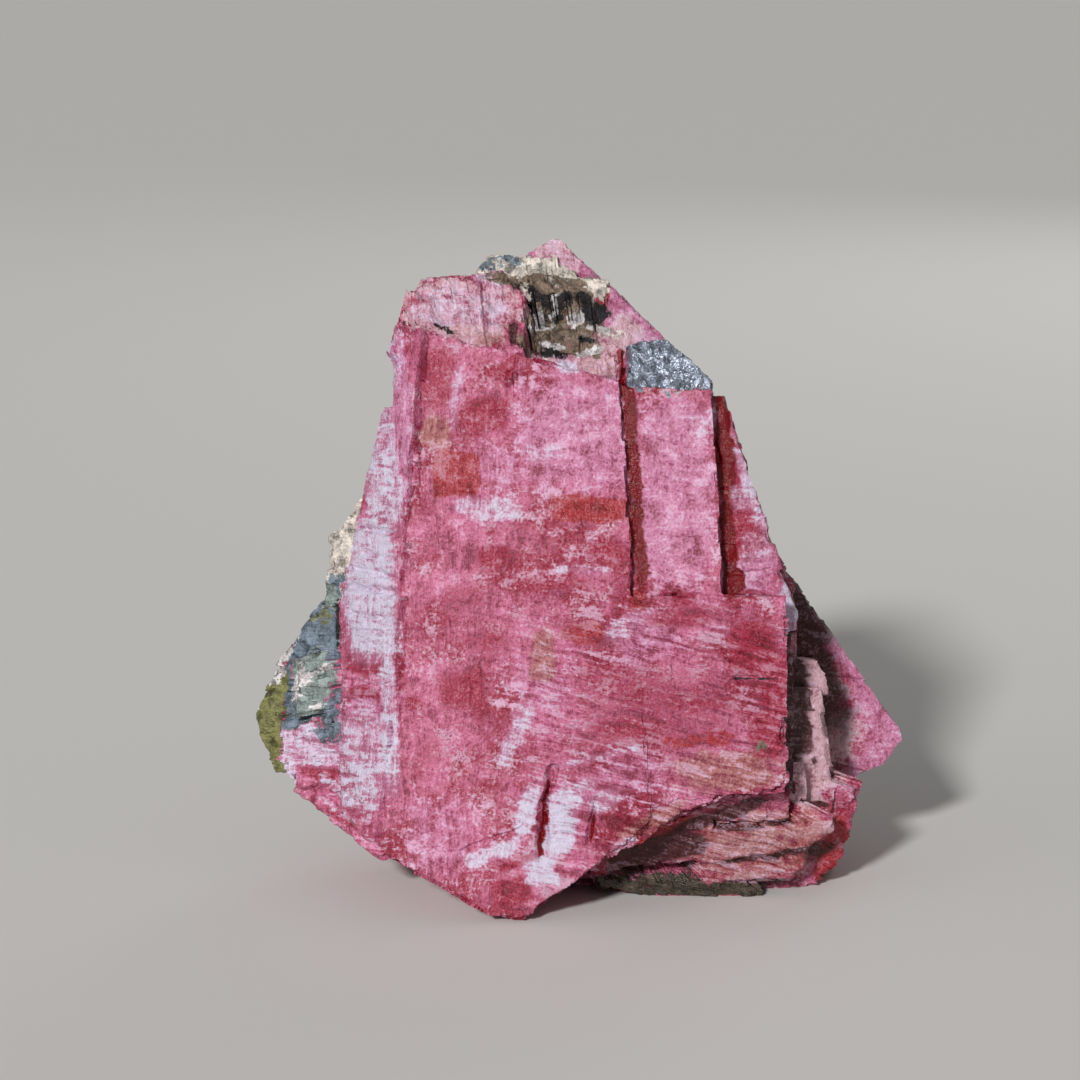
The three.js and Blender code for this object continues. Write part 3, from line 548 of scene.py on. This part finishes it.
# Flat-topped steps with sharp edges, as small cleavage blocks make: two sizes of cells, each
# at its own height, bent a little by smooth noise.
def blockNoise(points, seed):
    bent = points + 0.25 * np.stack([smoothNoise(points * 0.7, seed + k) for k in range(3)], 1)
    coarse = scatter(np.floor(bent), seed)
    fine = scatter(np.floor(bent * (2.3, 1.9, 2.1) + 0.4), seed + 5)
    return 0.65 * coarse + 0.35 * fine


# The corners of a block, anticlockwise: where its leaning sides cross its sloping ends. A
# broken corner is two points, one on each line, at its chip's two lengths from the corner.
def blockOutline(shape):
    middle = np.array(shape["middle"])
    order = [("bl", 0, 0), ("br", 1, 0), ("tr", 1, 1), ("tl", 0, 1)]
    corners = []
    for _, side, end in order:
        lean = shape["lean"][side]
        slope = shape["slope"][end]
        reach = shape["ends"][end] - slope * middle[0]
        x = (shape["sides"][side] + lean * (reach - middle[1])) / (1 - lean * slope)
        corners.append(np.array([x, reach + slope * x]))
    outline = []
    for i, (name, _, _) in enumerate(order):
        if name not in shape["chips"]:
            outline.append(corners[i])
            continue
        alongEnd, alongSide = shape["chips"][name]
        lengths = (alongSide, alongEnd) if name in ("bl", "tr") else (alongEnd, alongSide)
        for neighbour, length in zip((corners[i - 1], corners[(i + 1) % 4]), lengths):
            way = neighbour - corners[i]
            outline.append(corners[i] + way * length / np.linalg.norm(way))
    return np.array(outline)


# A block as half spaces: normals, offsets, and the relief that each plane is given.
def blockPlanes(shape):
    outline = blockOutline(shape)
    edge = np.roll(outline, -1, axis=0) - outline
    walls = np.stack([edge[:, 1], -edge[:, 0], np.zeros(len(edge))], axis=1)
    walls /= np.linalg.norm(walls, axis=1, keepdims=True)
    wallOffsets = (walls[:, :2] * outline).sum(axis=1)
    at = np.array(shape["at"])
    tilt = np.array(shape["tilt"])
    backTilt = np.array(shape["backTilt"])
    front = np.array([-tilt[0], -tilt[1], 1.0])
    back = np.array([backTilt[0], backTilt[1], -1.0])
    normals = np.vstack([walls, front / np.linalg.norm(front), back / np.linalg.norm(back)])
    offsets = np.concatenate([
        wallOffsets,
        [(shape["front"] - tilt @ at) / np.linalg.norm(front)],
        [(backTilt @ at - shape["back"]) / np.linalg.norm(back)],
    ])
    kinds = np.array([1] * len(walls) + [0, 2])  # 0 front, 1 wall, 2 back
    return normals, offsets, kinds


# How far along each ray a block is entered and left. A ray meets a plane at its gap, raised
# by relief, over its speed towards it. It leaves by the nearest plane it goes out through and
# enters by the furthest it comes in through. relief is a row per kind, then the cracks.
def blockSpan(shape, start, way, relief):
    normals, offsets, kinds = blockPlanes(shape)
    amounts = np.array([shape["grain"], shape["crumble"], stone["backRelief"]])
    enter = np.full(len(start), -far)
    leave = np.full(len(start), far)
    kindLeft = np.zeros(len(start), int)
    for normal, offset, kind in zip(normals, offsets, kinds):
        speed = way @ normal
        gap = offset + relief[kind] * amounts[kind] - start @ normal
        if kind == 0:
            gap = gap - relief[3]
        with np.errstate(divide="ignore", invalid="ignore"):
            t = gap / speed
        going = speed > tiny
        coming = speed < -tiny
        nearer = going & (t < leave)
        leave = np.where(nearer, t, leave)
        kindLeft = np.where(nearer, kind, kindLeft)
        enter = np.where(coming & (t > enter), t, enter)
        enter = np.where(~going & ~coming & (gap < 0), far, enter)
    return enter, leave, kindLeft


# Rays are stopped by the plane through a point with this normal, raised by its relief.
def cutRays(start, way, through, normal, raised, reach, kind, newKind):
    speed = way @ normal
    gap = np.array(through) @ normal + raised - start @ normal
    t = np.where(speed > tiny, gap / np.maximum(speed, tiny), far)
    cut = t < reach
    return np.where(cut, t, reach), np.where(cut, newKind, kind)


# The outermost point of the stone on each ray: the furthest way out of any block, stopped by
# the cavity, the breaks and the ground. With it go its block and the kind of its plane:
# 0 front, 1 wall, 2 back or break, 3 cavity, 4 underside.
def castStone(start, way, relief):
    reach = np.zeros(len(start))
    owner = np.zeros(len(start), int)
    kind = np.zeros(len(start), int)
    for index, shape in enumerate(blocks):
        enter, leave, kindLeft = blockSpan(shape, start, way, relief)
        further = (enter < leave) & (leave > reach)
        reach = np.where(further, leave, reach)
        owner = np.where(further, index, owner)
        kind = np.where(further, kindLeft, kind)
    enter, leave, _ = blockSpan(pocket, start, way, relief)
    inPocket = (enter < reach) & (leave > reach) & (enter > 0)
    reach = np.where(inPocket, enter, reach)
    kind = np.where(inPocket, 3, kind)
    for through, facing in breaks:
        normal = np.array(facing) / np.linalg.norm(facing)
        raised = stone["backRelief"] * relief[2]
        reach, kind = cutRays(start, way, through, normal, raised, reach, kind, 2)
    down = np.array([0, -math.cos(stone["lean"]), -math.sin(stone["lean"])])
    toe = (0, 0, stone["faceDepth"])
    reach, kind = cutRays(start, way, toe, down, 0, reach, kind, 4)
    return start + way * reach[:, None], owner, kind


# The surface of a box cut into cells: where each point is, 0 to 1, and the quads, whose
# corners run anticlockwise seen from outside.
def boxGrid(columns, rows, layers):
    size = np.array([columns, rows, layers])
    i, j, k = np.meshgrid(*[np.arange(n + 1) for n in size], indexing="ij")
    onSurface = (i % columns == 0) | (j % rows == 0) | (k % layers == 0)
    ids = np.full(i.shape, -1)
    ids[onSurface] = np.arange(onSurface.sum())
    places = np.stack([i[onSurface], j[onSurface], k[onSurface]], axis=1) / size
    sheets = [(ids[:, :, -1], False), (ids[:, :, 0], True), (ids[:, 0, :], False),
              (ids[:, -1, :], True), (ids[-1, :, :], False), (ids[0, :, :], True)]
    quads = []
    for sheet, turned in sheets:
        around = [sheet[:-1, :-1], sheet[1:, :-1], sheet[1:, 1:], sheet[:-1, 1:]]
        quad = np.stack([corner.ravel() for corner in around], axis=1)
        quads.append(quad[:, ::-1] if turned else quad)
    return places, np.vstack(quads)


# The start and the direction of each ray.
def stoneRays(places):
    height = places[:, 1]
    low = np.interp(height, rays["heights"], rays["lowSides"])
    high = np.interp(height, rays["heights"], rays["highSides"])
    end = np.stack([
        low + (high - low) * places[:, 0],
        rays["foot"] + rays["tall"] * height,
        rays["rear"] + rays["deep"] * places[:, 2],
    ], axis=1)
    start = np.stack([
        np.interp(places[:, 0], [0, 1], rays["startSides"]),
        rays["startFoot"] + rays["startTall"] * height,
        rays["startRear"] + rays["startDeep"] * places[:, 2],
    ], axis=1)
    way = end - start
    return start, way / np.linalg.norm(way, axis=1, keepdims=True)


# How deep the cracks are at each point: a crack's depth times 1.3 less the distance from its
# wandering line over its half width, kept between none and all of it.
def crackDepth(points):
    total = np.zeros(len(points))
    wander = stone["crackWander"] * fractalNoise(points / stone["crackBends"], 91, 3)
    for first, last, halfWidth, depth in cracks:
        start = np.array(first)
        along = np.array(last) - start
        share = np.clip((points[:, :2] - start) @ along / (along @ along), 0, 1)
        away = np.linalg.norm(points[:, :2] - start - share[:, None] * along, axis=1)
        total = np.maximum(total, depth * np.clip(1.3 - np.abs(away + wander) / halfWidth, 0, 1))
    return total * (points[:, 2] > stone["cracksFrom"])


# How much of one mineral there is at each point: all of it on its own blocks, and the most
# that any of its patches gives. In a patch's turned frame, the distance is the root of the
# summed powers of both shares of its half sizes, and falls from 1 to 0 across its soft edge.
# Edges waver, those of narrow patches less.
def mineralAmount(mineral, points, owner, kind, waver):
    owned = np.array([shape["mineral"] == mineral for shape in blocks])
    amount = owned[owner] * (kind < 2) * 1.0
    for spot in patches:
        if spot["mineral"] != mineral:
            continue
        angle = math.radians(spot["turn"])
        wander = min(1, 0.7 * min(spot["wide"], spot["tall"]))
        x = points[:, 0] - spot["x"] + wander * waver[0]
        y = points[:, 1] - spot["y"] + wander * waver[1]
        u = (x * math.cos(angle) + y * math.sin(angle)) / spot["wide"]
        v = (y * math.cos(angle) - x * math.sin(angle)) / spot["tall"]
        power = spot["square"]
        away = (np.abs(u) ** power + np.abs(v) ** power) ** (1 / power)
        inside = np.clip((1 + spot["soft"] - away) / (2 * spot["soft"]), 0, 1)
        shown = (points[:, 2] > spot["depths"][0]) & (points[:, 2] < spot["depths"][1])
        amount = np.maximum(amount, inside * shown * spot["strength"])
    return amount


# Turns points of the stone's frame upright and leaned back about the foot of the face, still
# in millimetres.
def leanBack(points):
    cosine = math.cos(stone["lean"])
    sine = math.sin(stone["lean"])
    depth = points[:, 2]
    up = points[:, 1]
    return np.stack([
        points[:, 0],
        -depth * cosine + up * sine,
        up * cosine + (depth - stone["faceDepth"]) * sine,
    ], axis=1)


# From the stone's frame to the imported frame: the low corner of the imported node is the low
# corner of the blocks' fronts.
def frameShift():
    fronts = []
    for shape in blocks:
        outline = blockOutline(shape)
        rise = (outline - np.array(shape["at"])) @ np.array(shape["tilt"])
        fronts.append(np.column_stack([outline, shape["front"] + rise]))
    corners = leanBack(np.vstack(fronts))
    corners = corners[corners[:, 2] > 0]
    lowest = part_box("rhodonite_stone")[0]
    return np.array([lowest[0] * 1000 - corners[:, 0].min(),
                     lowest[1] * 1000 - corners[:, 1].min(), 0.0])


def addToScene(name, data):
    thing = bpy.data.objects.new(name, data)
    bpy.context.scene.collection.objects.link(thing)
    return thing


def paintPoints(mesh, name, amount):
    layer = mesh.attributes.new(name, "FLOAT", "POINT")
    layer.data.foreach_set("value", amount.astype(np.float32))


# The stone is cast twice: smooth, to find where each ray lands, then with relief. Fronts get
# terraces, lumps and grit, walls get chips, lumps and grit, the back and its breaks get all
# four, most of it lumps, and cracks are cut into the fronts.
def buildStone():
    places, quads = boxGrid(stone["columns"], stone["rows"], stone["layers"])
    start, way = stoneRays(places)
    flat = np.zeros((4, len(start)))
    first, _, _ = castStone(start, way, flat)
    seed = stone["seed"]
    chips = blockNoise(first / stone["chipSize"], seed)
    lumps = fractalNoise(first / stone["roughSize"], seed + 20, 5)
    terraces = blockNoise(first / stone["terraceSize"], seed + 40)
    grit = fractalNoise(first / stone["gritSize"], seed + 60, 3)
    relief = np.stack([
        0.5 * terraces + 0.3 * lumps + 0.45 * grit - 0.4,
        0.7 * chips + 0.35 * lumps + 0.2 * grit - 0.4,
        0.15 * chips + 0.45 * terraces + 1.2 * lumps + 0.4 * grit - 0.6,
        crackDepth(first),
    ])
    points, owner, kind = castStone(start, way, relief)
    print("stone surface:", len(points), "points,", len(quads), "quads")

    metres = (leanBack(points) + shift) / 1000
    mesh = bpy.data.meshes.new("rhodonite")
    mesh.vertices.add(len(metres))
    mesh.vertices.foreach_set("co", metres.ravel())
    mesh.loops.add(quads.size)
    mesh.loops.foreach_set("vertex_index", quads.ravel())
    mesh.polygons.add(len(quads))
    mesh.polygons.foreach_set("loop_start", np.arange(0, quads.size, 4))
    mesh.update(calc_edges=True)
    bends = points / stone["waverSize"]
    waver = [stone["waver"] * fractalNoise(bends, seed + 70 + k, 4) for k in range(2)]
    for mineral in minerals:
        paintPoints(mesh, mineral, mineralAmount(mineral, points, owner, kind, waver))
    paintPoints(mesh, "broken", (kind == 2) | (kind == 4))
    # walls below the crown, which get a painted red glow of shade
    paintPoints(mesh, "wall", (kind == 1) & (points[:, 1] < faceTop - stone["crownStarts"]))
    print("minerals painted:", ", ".join(minerals))

    piece = addToScene("rhodonite", mesh)
    thin = piece.modifiers.new("thin", "DECIMATE")
    thin.ratio = stone["triangles"] / (2 * len(quads))
    thinned = piece.evaluated_get(bpy.context.evaluated_depsgraph_get())
    finished = bpy.data.meshes.new_from_object(thinned)
    piece.modifiers.clear()
    piece.data = finished
    finished.set_sharp_from_angle(angle=stone["sharpAngle"])
    print("stone mesh:", len(finished.polygons), "faces")
    return piece


# A node's output, with arithmetic that adds Math nodes.
class Wire:
    def __init__(self, sheet, socket):
        self.sheet = sheet
        self.socket = socket

    def math(self, kind, *others):
        return self.sheet.add("ShaderNodeMath", {"operation": kind}, dict(enumerate((self, *others))))

    def __add__(self, other):
        return self.math("ADD", other)

    def __mul__(self, other):
        return self.math("MULTIPLY", other)

    def __sub__(self, other):
        return self.math("SUBTRACT", other)

    def __rsub__(self, other):
        return self.sheet.add("ShaderNodeMath", {"operation": "SUBTRACT"}, {0: other, 1: self})

    __radd__ = __add__
    __rmul__ = __mul__

    def between(self, low, high):
        settings = {"interpolation_type": "SMOOTHSTEP"}
        links = {"Value": self, "From Min": low, "From Max": high}
        return self.sheet.add("ShaderNodeMapRange", settings, links)

    # how far a painted amount, made ragged by a noise, covers what is below it
    def covering(self, noise, low, high):
        return (self + noise).between(low, high) * self.between(0.02, 0.2)


class Sheet:
    def __init__(self, name):
        self.material = bpy.data.materials.new(name)
        self.material.use_nodes = True
        self.tree = self.material.node_tree
        self.shader = self.tree.nodes["Principled BSDF"]

    # any node: its type, its settings, its inputs, and which output is wanted
    def add(self, kind, settings=None, inputs=None, output=0):
        node = self.tree.nodes.new(kind)
        for name, value in (settings or {}).items():
            setattr(node, name, value)
        for name, value in (inputs or {}).items():
            self.join(node.inputs[name], value)
        return Wire(self, node.outputs[output])

    def join(self, socket, value):
        if isinstance(value, Wire):
            self.tree.links.new(value.socket, socket)
        else:
            socket.default_value = value

    def attribute(self, name):
        return self.add("ShaderNodeAttribute", {"attribute_name": name}, output="Fac")

    def noise(self, where, size, detail=4.0, roughness=0.55):
        inputs = {"Vector": where, "Scale": 1 / size, "Detail": detail, "Roughness": roughness}
        return self.add("ShaderNodeTexNoise", {}, inputs)

    def cells(self, where, size):
        colours = self.add("ShaderNodeTexVoronoi", {}, {"Vector": where, "Scale": 1 / size}, 1)
        return self.add("ShaderNodeSeparateColor", {}, {0: colours})

    def mix(self, amount, first, second):
        inputs = {0: amount, 6: first, 7: second}
        return self.add("ShaderNodeMix", {"data_type": "RGBA"}, inputs, 2)

    def multiply(self, amount, first, second):
        settings = {"data_type": "RGBA", "blend_type": "MULTIPLY"}
        return self.add("ShaderNodeMix", settings, {0: amount, 6: first, 7: second}, 2)

    def stretch(self, where, amounts):
        return self.add("ShaderNodeVectorMath", {"operation": "MULTIPLY"}, {0: where, 1: amounts})


# A screen colour, 0 to 255, as linear light.
def colour(red, green, blue):
    linear = [((c / 255 + 0.055) / 1.055) ** 2.4 if c > 10 else c / 3295 for c in (red, green, blue)]
    return (*linear, 1.0)


rhodoniteLook = {
    "rose": colour(200, 108, 142),
    "raspberry": colour(156, 42, 68),
    "pale": colour(232, 194, 222),
    "darkened": colour(158, 92, 108),
    # orchid and chalk also paint light, tan, umber and ruby also paint shade, frost partly sheen
    "orchidAndPaintedLight": colour(200, 126, 162),
    "chalkAndPaintedLight": colour(212, 176, 184),
    "tanAndShade": colour(172, 110, 104),
    "deep": colour(158, 36, 64),
    "rust": colour(162, 40, 44),
    "umberAndShade": colour(70, 30, 27),
    "rubyAndShade": colour(118, 2, 8),
    "frostAndSheen": colour(212, 206, 226),
    "cream": colour(198, 188, 178),
    "quartz": colour(196, 190, 190),
    "grey": colour(116, 98, 84),
    "rock": colour(72, 62, 50),
    "slate": colour(104, 116, 128),
    "olive": colour(112, 110, 66),
    "green": colour(128, 140, 136),
    "galena": colour(150, 158, 172),
    "dark": colour(34, 32, 34),
    "broken": colour(166, 92, 98),
    # sizes of the noises, in millimetres
    "cloudSize": 8,
    "patchSize": 2.6,
    "mottleSize": 1.1,
    "grainSize": 0.3,
    "crystalSize": 0.9,
    "glintSize": 0.22,
    # how fine the lines are, per millimetre along, through and up
    "upStretch": (2.4, 0.3, 0.16),
    "acrossStretch": (0.16, 0.3, 1.6),
    "fibreStretch": (0.15, 0.3, 2.0),
    "fibreTurn": math.radians(-14),
    "drift": 1.1,  # millimetres that the fine lines wander
    # where a part of the face starts and where it is in full, in millimetres
    "rightPart": (-13, -2),
    "highPart": (24, 36),
    "pastBevel": (-20.5, -18),
    "pastFace": (21.5, 23.5),
    # how much of what lies below each layer hides
    "brokenShare": 0.55,
    "wallGlowShare": 0.5,
    "veilShare": 0.85,
    "palerShare": 0.56,
    "darkerShare": 0.85,
    "groundShare": 0.5,
    "frostAndSheenShare": 0.9,
    "glintShare": 0.4,
    # a crust's darkest and lightest crystals, against its colour
    "crystalShade": 0.3,
    "crystalLight": 1.5,
    "metal": 0.6,
    "roughness": 0.3,
    "gloss": 0.36,
    "bump": 1.0,
    "bumpDistance": 0.0004,  # metres
}


# Pink stone: rose clouded with raspberry, duller where broken and redder on walls, a painted
# red glow of shade. Each veil, then each window, is laid over it where its painted amount plus
# a noise passes a threshold; some of them are painted light or shade. One tone, the sum of
# upright, level and slanted lines that wander and fade, a patchiness, a mottle and a fine
# grain, pales what is above its middle and darkens what is below. Frost, partly a painted
# sheen, lies over an orchid ground in streaks, and single grains get painted glints, most in
# frost. Windows stay clear of the pale tone and the glints. Crusts cover the rest, each crystal
# darker or lighter than the crust's colour. Roughness rises where broken, dark or creamy and
# falls where metallic or ruby.
def rhodoniteMaterial():
    look = rhodoniteLook
    sheet = Sheet("rhodonite")
    coordinates = sheet.add("ShaderNodeTexCoord", {}, {}, "Object")
    upright = {"Rotation": (stone["lean"], 0, 0), "Scale": (1000, 1000, 1000)}
    where = sheet.add("ShaderNodeMapping", {}, {"Vector": coordinates, **upright})
    along = sheet.add("ShaderNodeSeparateXYZ", {}, {0: where}, "X")
    height = sheet.add("ShaderNodeSeparateXYZ", {}, {0: where}, "Z")
    push = sheet.add("ShaderNodeTexNoise", {}, {"Vector": where, "Scale": 0.25, "Detail": 1.0}, 1)
    pushed = {0: push, 1: (look["drift"],) * 3, 2: where}
    bent = sheet.add("ShaderNodeVectorMath", {"operation": "MULTIPLY_ADD"}, pushed)
    turned = {"Vector": bent, "Rotation": (0, look["fibreTurn"], 0)}
    slant = sheet.add("ShaderNodeMapping", {}, turned)

    cloud = sheet.noise(where, look["cloudSize"], 3, 0.6)
    patchy = sheet.noise(bent, look["patchSize"], 3, 0.6)
    mottle = sheet.noise(bent, look["mottleSize"], 4, 0.66)
    fine = sheet.noise(where, look["grainSize"], 2, 0.7)
    upLines = sheet.noise(sheet.stretch(bent, look["upStretch"]), 1.0, 4, 0.64)
    acrossLines = sheet.noise(sheet.stretch(bent, look["acrossStretch"]), 1.0, 4, 0.64)
    fibres = sheet.noise(sheet.stretch(slant, look["fibreStretch"]), 1.0, 4, 0.66)
    crystals = sheet.cells(bent, look["crystalSize"])
    glints = sheet.cells(where, look["glintSize"])

    right = along.between(*look["rightPart"])
    low = 1 - height.between(*look["highPart"])
    fade = patchy.between(0.36, 0.6)
    streaks = (upLines - 0.5) * (1.5 - 0.9 * right) * (1.3 - fade)
    rungs = 1 - along.between(*look["pastBevel"])
    streaks = streaks + (acrossLines - 0.5) * (0.5 + 0.6 * right + 2.4 * rungs) * (0.3 + fade)
    onFace = 1 - along.between(*look["pastFace"])
    streaks = streaks + (fibres - 0.5) * (0.5 + 2.6 * right * low) * onFace
    tone = 0.5 + streaks * 1.1 + (patchy - 0.5) * 2.1 + (mottle - 0.5) * 1.6 + (fine - 0.5) * 1.8

    clouded = (cloud - 0.5) * 1.8 + (patchy - 0.5) * 1.5 + streaks * 0.25
    paint = sheet.mix((clouded + 0.5).between(0.32, 0.7), look["rose"], look["raspberry"])
    paint = sheet.mix(sheet.attribute("broken") * look["brokenShare"], paint, look["broken"])
    # walls get a painted red glow of shade, blotched by the mottle
    shadedWallGlow = sheet.attribute("wall") * mottle.between(0.36, 0.56)
    paint = sheet.mix(shadedWallGlow * look["wallGlowShare"], paint, look["deep"])
    ragged = streaks * 0.5 + (patchy - 0.5) * 0.8 + (mottle - 0.5) * 1.2 + (fine - 0.5) * 0.4
    for mineral in veils:
        cover = sheet.attribute(mineral).covering(ragged, 0.3, 0.75)
        paint = sheet.mix(cover * look["veilShare"], paint, look[mineral])
    clear = sheet.attribute("rubyAndShade")
    for mineral, share in windows.items():
        cover = sheet.attribute(mineral).covering(ragged * 0.6, 0.3, 0.62)
        paint = sheet.mix(cover * share, paint, look[mineral])
        clear = clear + cover * 0.5
    plain = 1 - clear.between(0, 1)
    paler = sheet.mix(look["palerShare"], paint, look["pale"])
    darker = sheet.multiply(1.0, paint, look["darkened"])
    paint = sheet.mix(tone.between(0.5, 1.15) * plain, paint, paler)
    paint = sheet.mix((1 - tone.between(-0.25, 0.6)) * look["darkerShare"], paint, darker)

    frostAndSheen = sheet.attribute("frostAndSheen")
    streaky = streaks * 0.9 + (patchy - 0.5) * 0.8 + (mottle - 0.5) * 1.3 + (fine - 0.5) * 1.2
    # frost is crushed cleavage, whiter in streaks, and partly a painted sheen
    ground = frostAndSheen.covering((mottle - 0.5) * 0.8, 0.1, 0.7)
    paint = sheet.mix(ground * look["groundShare"], paint, look["orchidAndPaintedLight"])
    frostAndSheenCover = frostAndSheen.covering(streaky, 0.3, 1.1)
    paint = sheet.mix(frostAndSheenCover * look["frostAndSheenShare"], paint, look["frostAndSheen"])
    # painted glints: single grains take the frost colour, outside windows and where the tone is light
    sparkle = (glints + frostAndSheenCover * 0.2 + sheet.attribute("orchidAndPaintedLight") * 0.06).between(0.94, 0.98)
    paintedGlints = sparkle * tone.between(0.35, 0.8) * plain
    paint = sheet.mix(paintedGlints * look["glintShare"], paint, look["frostAndSheen"])

    brokenUp = (patchy - 0.5) * 1.2 + (mottle - 0.5) * 1.8 + (fine - 0.5) * 0.8
    for mineral in crusts:
        cover = sheet.attribute(mineral).covering(brokenUp, 0.38, 0.6)
        bright = crystals * 0.7 + glints * 0.45 + (mottle - 0.5) * 1.8 + (streaks - 0.1) * 0.3
        shade = tuple(look["crystalShade"] * c for c in look[mineral][:3]) + (1.0,)
        light = tuple(min(1.0, look["crystalLight"] * c) for c in look[mineral][:3]) + (1.0,)
        paint = sheet.mix(cover, paint, sheet.mix(bright, shade, light))
    sheet.join(sheet.shader.inputs["Base Color"], paint)

    metal = sheet.attribute("galena")
    dull = sheet.attribute("dark") + sheet.attribute("cream") + sheet.attribute("broken")
    glassy = sheet.attribute("rubyAndShade")
    roughness = look["roughness"] + 0.2 * dull - 0.06 * metal - 0.13 * glassy + 0.5 * (fine - 0.5)
    sheet.join(sheet.shader.inputs["Roughness"], roughness)
    sheet.join(sheet.shader.inputs["Metallic"], metal * look["metal"])

    relief = mottle * 0.7 + streaks * 0.35 + fine * 0.3
    bumpInputs = {"Strength": look["bump"], "Distance": look["bumpDistance"], "Height": relief}
    normal = sheet.add("ShaderNodeBump", {}, bumpInputs)
    sheet.join(sheet.shader.inputs["Normal"], normal)
    sheet.shader.inputs["Specular IOR Level"].default_value = look["gloss"]
    print("material ready: rhodonite")
    return sheet.material


studio = {
    "viewDistance": 420.0,  # millimetres in front of the stone's middle plane
    "viewX": -4.0,
    "viewY": 39.4,
    "lens": 129.63,  # millimetres, as is the sensor
    "sensor": 36,
    "sight": 50,  # metres, as are the lengths below
    "floorRadius": 8.0,
    "floorColour": colour(226, 224, 220),
    "floorRoughness": 0.9,
    "worldLight": 0.18,
    "lampTarget": (0, 0, 0.03),
    # kind, strength, how wide the light is, and its place
    "key": ("SUN", 2.75, ("angle", math.radians(6)), (-0.19, -0.53, 0.29)),
    "fill": ("AREA", 0.4, ("size", 0.4), (-0.5, -0.3, 0.2)),
    "rear": ("AREA", 0.5, ("size", 0.4), (0.3, 0.6, 0.35)),
}


def buildStudio():
    radius = studio["floorRadius"]
    mesh = bpy.data.meshes.new("floor")
    corners = [(-radius, -radius, 0), (radius, -radius, 0), (radius, radius, 0), (-radius, radius, 0)]
    mesh.from_pydata(corners, [], [(0, 1, 2, 3)])
    floor = addToScene("floor", mesh)
    sheet = Sheet("floor")
    sheet.join(sheet.shader.inputs["Base Color"], studio["floorColour"])
    sheet.join(sheet.shader.inputs["Roughness"], studio["floorRoughness"])
    mesh.materials.append(sheet.material)

    world = bpy.data.worlds.new("studio")
    world.use_nodes = True
    world.node_tree.nodes["Background"].inputs["Color"].default_value = (1, 1, 1, 1)
    world.node_tree.nodes["Background"].inputs["Strength"].default_value = studio["worldLight"]
    bpy.context.scene.world = world
    bpy.context.scene.view_settings.view_transform = "Standard"

    for name in ("key", "fill", "rear"):
        kind, strength, (measure, width), place = studio[name]
        light = bpy.data.lights.new(name, kind)
        light.energy = strength
        setattr(light, measure, width)
        lamp = addToScene(name, light)
        lamp.location = place
        way = Vector(studio["lampTarget"]) - Vector(place)
        lamp.rotation_euler = way.to_track_quat("-Z", "Y").to_euler()
    print("studio ready")


def buildCamera():
    eye = np.array([[studio["viewX"], studio["viewY"], studio["viewDistance"]]])
    place = (leanBack(eye)[0] + shift) / 1000
    lens = bpy.data.cameras.new("camera")
    lens.lens = studio["lens"]
    lens.sensor_width = studio["sensor"]
    lens.clip_end = studio["sight"]
    camera = addToScene("camera", lens)
    camera.location = place
    camera.rotation_euler = (math.pi / 2 - stone["lean"], 0, 0)
    bpy.context.scene.camera = camera
    print("camera ready")


shift = frameShift()
buildCamera()
piece = buildStone()
piece.data.materials.clear()
piece.data.materials.append(rhodoniteMaterial())
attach(piece, "root")
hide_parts("rhodonite_stone")
buildStudio()
